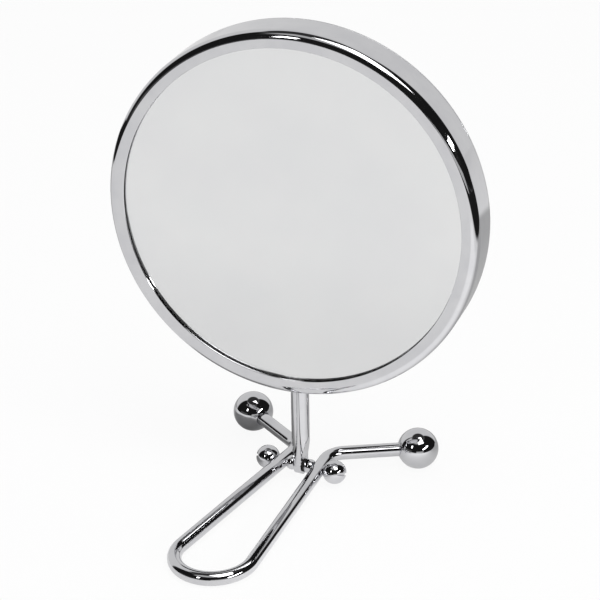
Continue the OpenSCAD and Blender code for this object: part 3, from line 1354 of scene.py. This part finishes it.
@dataclass(frozen=True)
class Studio:
    """The pale floor, the lamps and the room that the chrome and the glasses reflect."""

    floor_tone: str = "#F6F6F6"
    floor_half: float = 4.0
    floor_white: float = 0.92
    ambient: float = 0.45
    backdrop: float = 0.79
    glass_floor: float = 0.89
    # Painted shade on the floor near the object, as the glasses show it.
    painted_shade_in_glass: Zone = Zone((-0.3, 0.3), (-0.17, 0.3), 0.8, 0.14)
    glass_horizon: float = 0.9
    glass_zenith: float = 0.66
    # Into a glass, off its silver and out again: beyond this, metal shows what the glass shows.
    glass_bounces: float = 3.5
    sheet: Sheet = Sheet()
    patches: tuple[Zone, ...] = (
        # The dark room behind the camera.
        Zone((-84, 153), (-4, 62), 0.012, 7),
        # The dark ceiling.
        Zone((-200, 200), (61, 100), 0.04, 5),
        # A pale card under the ceiling, in front.
        Zone((-38, 34), (50, 70), 0.6, 9),
    )
    screens: tuple[Screen, ...] = (
        Screen("pale_screen", 38, 1.1, 0.8, 0.17, 0.55),
        Screen("dim_screen", -30, 1.1, 0.9, 0.2, 0.1),
    )
    lamps: tuple[SoftBox, ...] = (
        SoftBox("top_lamp", 54, 67, 1.6, 0.85, 1.15, 4.1),
        SoftBox("side_lamp", 73, 19.5, 1.7, 1.1, 0.13, 15.0, 16.0),
        SoftBox("front_lamp", -12.4, 27, 1.7, 0.17, 0.38, 7.0),
    )

    @staticmethod
    def bearing(tree: Tree, x: Socket, y: Socket) -> Socket:
        """Adds the angle from the front towards +X, in degrees."""
        return calc(tree, "DEGREES", calc(tree, "ARCTAN2", x, calc(tree, "MULTIPLY", y, -1.0)))

    def room(self) -> None:
        """Builds the world: white to the camera, the room to mirrors, and plain light else."""
        world = bpy.data.worlds.new("studio_room")
        bpy.context.scene.world = world
        world.use_nodes = True
        tree = world.node_tree
        tree.nodes.clear()
        view = node(tree, "TexCoord").outputs["Generated"]
        x, y, z = node(tree, "SeparateXYZ", {"Vector": view}).outputs
        rise = calc(tree, "DEGREES", calc(tree, "ARCSINE", z))
        way = (self.bearing(tree, x, y), rise)
        seen: Socket | float = self.backdrop
        for patch in self.patches:
            seen = patch.over(tree, way, seen)
        path = node(tree, "LightPath").outputs
        # What the glasses show goes from the horizon's tone to the zenith's, softly.
        high = window(tree, rise, (45, 180), 90)
        glass = blend(tree, high, self.glass_horizon, self.glass_zenith)
        near = calc(tree, "LESS_THAN", path["Ray Depth"], self.glass_bounces)
        lit = blend(tree, path["Is Glossy Ray"], self.ambient, seen)
        lit = blend(tree, calc(tree, "MULTIPLY", near, path["Is Transmission Ray"]), lit, glass)
        strength = blend(tree, path["Is Camera Ray"], lit, 1.0)
        light = node(tree, "Background", {"Color": linear("#FFFFFF"), "Strength": strength})
        node(tree, "OutputWorld", {"Surface": light.outputs[0]})
        LOG.info("room with %d patches", len(self.patches))

    def paper(self, tree: Tree, path: bpy.types.NodeOutputs) -> tuple[Socket, Socket]:
        """Adds the paper that metal and glass see in the floor's place.

        Args:
            tree: the floor's nodes.
            path: what the light path tells.

        Returns:
            How bright the paper is, and its share in what is seen. The rest of what is seen is
            the floor's real shading.
        """
        sheet = self.sheet
        floor_place = node(tree, "TexCoord").outputs["Object"]
        x, y, _ = node(tree, "SeparateXYZ", {"Vector": floor_place}).outputs
        level: Socket | float = sheet.level
        # Lays the painted shade and painted light over the paper's level.
        for zone in sheet.painted_zones:
            level = zone.over(tree, (x, y), level)
        flat = Zone(sheet.across, sheet.along, sheet.level, sheet.soft).mask(tree, (x, y))
        back = window(tree, y, (sheet.along[1], 2 * self.floor_half), sheet.soft)
        turn = self.bearing(tree, x, y)
        aside = window(tree, turn, (0.0, sheet.sweep_side), sheet.sweep_soft)
        sweep = calc(tree, "MULTIPLY", back, calc(tree, "SUBTRACT", 1.0, aside))
        paper = calc(tree, "ADD", flat, sweep)
        level = blend(tree, sweep, level, sheet.sweep_level)
        level = blend(tree, paper, sheet.beyond, level)
        # The glasses see the paper evenly bright, apart from the painted shade near the object.
        in_glass = self.painted_shade_in_glass.over(tree, (x, y), self.glass_floor)
        glow = blend(tree, paper, 1.0, 1.0 - sheet.real_light)
        share = blend(tree, path["Is Glossy Ray"], 0.0, glow)
        share = blend(tree, path["Is Transmission Ray"], share, 1.0 - sheet.real_light)
        return blend(tree, path["Is Transmission Ray"], level, in_glass), share

    def floor(self) -> None:
        """Lays the pale floor, which is white to the camera apart from soft shadows."""
        Bench.clear()
        bpy.ops.mesh.primitive_plane_add(size=2 * self.floor_half)
        floor = bpy.context.object
        floor.name = "studio_floor"
        recipe = Recipe("painted_floor")
        tree, white = recipe.tree, linear("#FFFFFF")
        path = node(tree, "LightPath").outputs
        level, share = self.paper(tree, path)
        paint = {"Base Color": linear(self.floor_tone), "Roughness": 0.9}
        plain = node(tree, "BsdfPrincipled", {**paint, "Specular IOR Level": 0.1})
        glow = node(tree, "Emission", {"Color": white, "Strength": level})
        mixed = node(tree, "MixShader", {0: share, 1: plain.outputs[0], 2: glow.outputs[0]})
        # The white room shows through, and so does a piece that hangs below the floor's level.
        clear = node(tree, "BsdfTransparent", {"Color": white})
        through = blend(tree, path["Is Camera Ray"], 0.0, self.floor_white)
        shown = {0: through, 1: mixed.outputs[0], 2: clear.outputs[0]}
        floor.data.materials.append(recipe.end("MixShader", shown))
        LOG.info("floor")

    def make(self, target: Vector) -> None:
        """Builds the whole studio.

        Args:
            target: the point that the lamps face.
        """
        self.room()
        self.floor()
        for screen in self.screens:
            screen.make()
        for lamp in self.lamps:
            lamp.make(target)


@dataclass(frozen=True)
class Viewpoint:
    """Where the camera stands: above the table, to the right of the glass."""

    azimuth: float = 27.43
    elevation: float = 24.76
    roll: float = -0.93
    distance: float = 0.885
    target: tuple[float, float, float] = (0.0007, 0.02597, 0.08055)
    lens: float = 135.38

    def make(self) -> None:
        """Sets up the camera."""
        back = towards(self.azimuth, self.elevation)
        level = heading(self.azimuth)
        upright = back.cross(level)
        r = math.radians(self.roll)
        right = math.cos(r) * level + math.sin(r) * upright
        up = math.cos(r) * upright - math.sin(r) * level
        Bench.clear()
        bpy.ops.object.camera_add()
        camera = bpy.context.object
        camera.name = "main_camera"
        turn = Matrix((right, up, back)).transposed().to_4x4()
        camera.matrix_world = Matrix.Translation(Vector(self.target) + self.distance * back) @ turn
        camera.data.lens = self.lens
        camera.data.clip_start, camera.data.clip_end = 0.01, 100
        bpy.context.scene.camera = camera
        LOG.info("camera")


def main() -> None:
    """Builds the studio and every sub-assembly in order."""
    logging.basicConfig(level=logging.INFO, format="%(name)s: %(message)s")
    bpy.context.scene.view_settings.view_transform = "Standard"
    view = Viewpoint()
    view.make()
    Head().make()
    Post().make()
    Stand().make()
    Studio().make(Vector(view.target))


if __name__ == "__main__":
    main()
